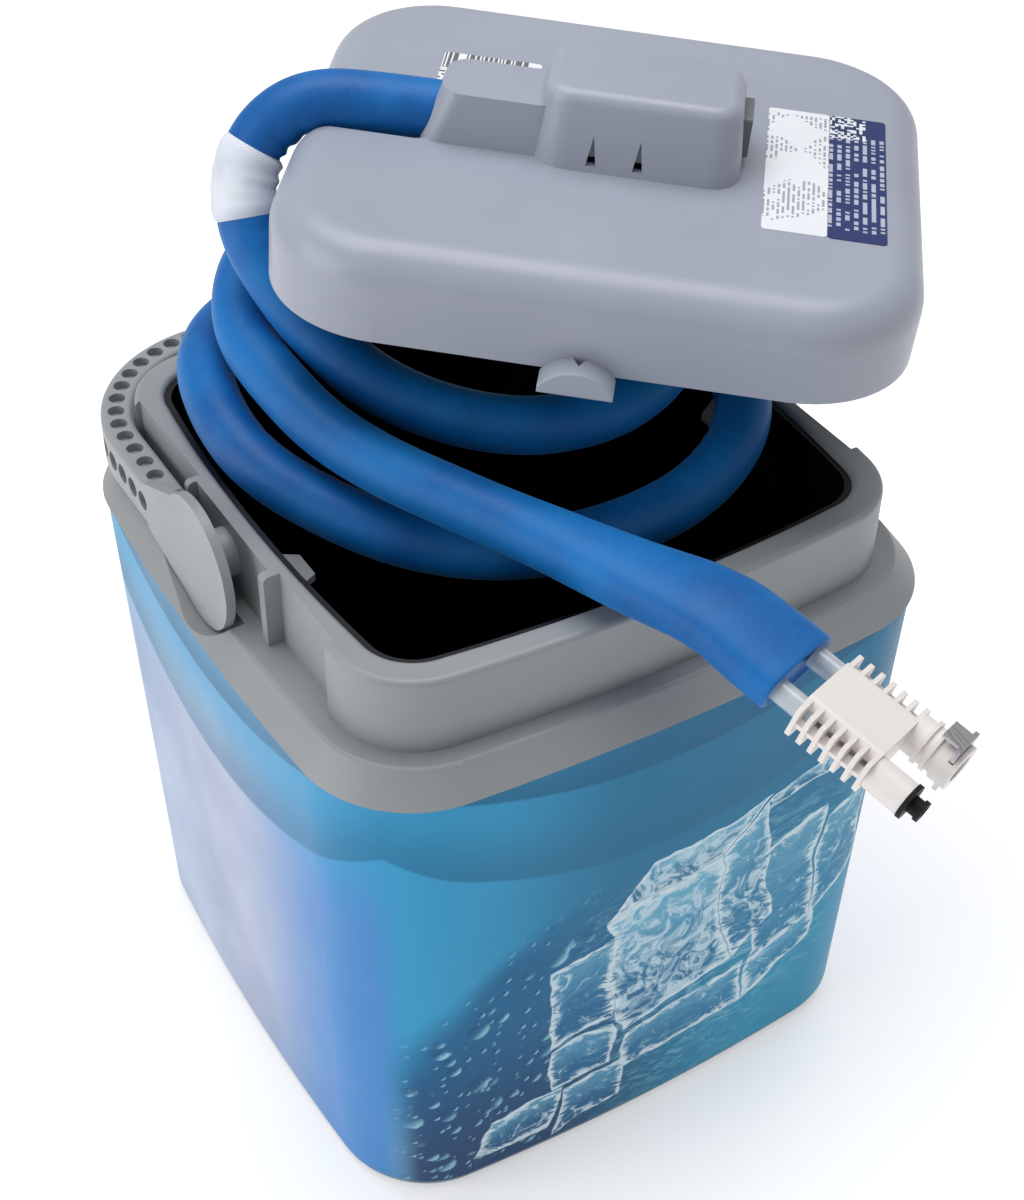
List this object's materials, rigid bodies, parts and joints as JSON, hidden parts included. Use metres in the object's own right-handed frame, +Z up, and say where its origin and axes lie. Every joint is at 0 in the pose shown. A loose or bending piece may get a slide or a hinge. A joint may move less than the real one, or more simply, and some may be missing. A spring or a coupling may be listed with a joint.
{
  "type": "cold therapy cooler",
  "caption": "Ice water tub with a folding bail handle, a loose lid carrying a pump housing, and a long soft twin-tube hose ending in a ribbed dry-break coupling.",
  "frame": {"origin": "centre of the tub's underside, on the surface it stands on", "axes": "+X along the tub's front wall to the right, +Y to the back, where the folded handle lies, +Z up"},
  "size_m": [0.3082, 0.3644, 0.3866],
  "materials": {
    "grey_plastic": "satin",
    "printed_film": "glossy",
    "shell_plastic": "matt",
    "liner_plastic": "satin",
    "foam": "matt",
    "dark_plastic": "satin",
    "seal_rubber": "matt",
    "screw_steel": "brushed",
    "label_paper": "satin",
    "label_navy": "satin",
    "pump_plastic": "satin",
    "motor_steel": "brushed",
    "board_green": "satin",
    "clear_tube": "glossy",
    "hose_fabric": "matt",
    "band_white": "matt",
    "coupling_plastic": "satin",
    "latch_metal": "brushed"
  },
  "bodies": {
    "cooler": {"tub_outer_shell": "shell_plastic", "printed_sleeve": "printed_film", "tub_insulation": "foam", "tub_liner": "liner_plastic", "rim_collar": "grey_plastic", "support_tabs": "grey_plastic", "handle_pivot_pins": "dark_plastic"},
    "handle": {"carry_handle": "grey_plastic"},
    "lid": {"lid_cover": "grey_plastic", "lid_pan": "dark_plastic", "lid_insulation": "foam", "lid_gasket": "seal_rubber", "lid_screws": "screw_steel", "lid_thumb_tab": "grey_plastic", "rating_label": "label_paper", "instruction_label": "label_paper", "identity_label": "label_navy", "power_socket": "dark_plastic", "pump_column": "dark_plastic", "pump_volute": "pump_plastic", "intake_screen": "dark_plastic", "pump_motor": "motor_steel", "motor_bracket": "pump_plastic", "circuit_board": "board_green", "supply_tube": "clear_tube", "return_tube": "clear_tube", "hose_gland": "dark_plastic", "hose_sleeve": "hose_fabric", "hose_band": "band_white", "hose_cuff": "hose_fabric", "tube_ends": "clear_tube", "coupling_body": "coupling_plastic", "valve_end": "seal_rubber", "coupling_o_ring": "seal_rubber"},
    "impeller": {"impeller_and_shaft": "pump_plastic"},
    "near_poppet": {"poppet_near": "coupling_plastic"},
    "far_poppet": {"poppet_far": "coupling_plastic"},
    "thumb_latch": {"coupling_latch": "latch_metal"}
  },
  "joints": [
    {"name": "handle_swing", "type": "hinge", "parent": "cooler", "child": "handle", "pos_m": [0, 0.003, 0.248], "axis": [1, 0, 0], "range_deg": [0, 20]},
    {"name": "lid_lift", "type": "slide", "parent": "cooler", "child": "lid", "axis": [0, 0, 1], "range_m": [0, 0.3]},
    {"name": "impeller_spin", "type": "hinge", "parent": "lid", "child": "impeller", "pos_m": [0.03933, 0.0327, 0.18716], "axis": [0.0454, -0.0691, 0.9966], "continuous": true},
    {"name": "near_poppet_slide", "type": "slide", "parent": "lid", "child": "near_poppet", "axis": [-0.301, 0.9154, 0.2674], "range_m": [0, 0.003], "stiffness_N_per_m": 300, "springref_m": -0.002},
    {"name": "far_poppet_slide", "type": "slide", "parent": "lid", "child": "far_poppet", "axis": [-0.301, 0.9154, 0.2674], "range_m": [0, 0.003], "stiffness_N_per_m": 300, "springref_m": -0.002},
    {"name": "thumb_latch_slide", "type": "slide", "parent": "lid", "child": "thumb_latch", "axis": [-0.1243, 0.2404, -0.9627], "range_m": [0, 0.0015], "stiffness_N_per_m": 400, "springref_m": -0.002}
  ]
}
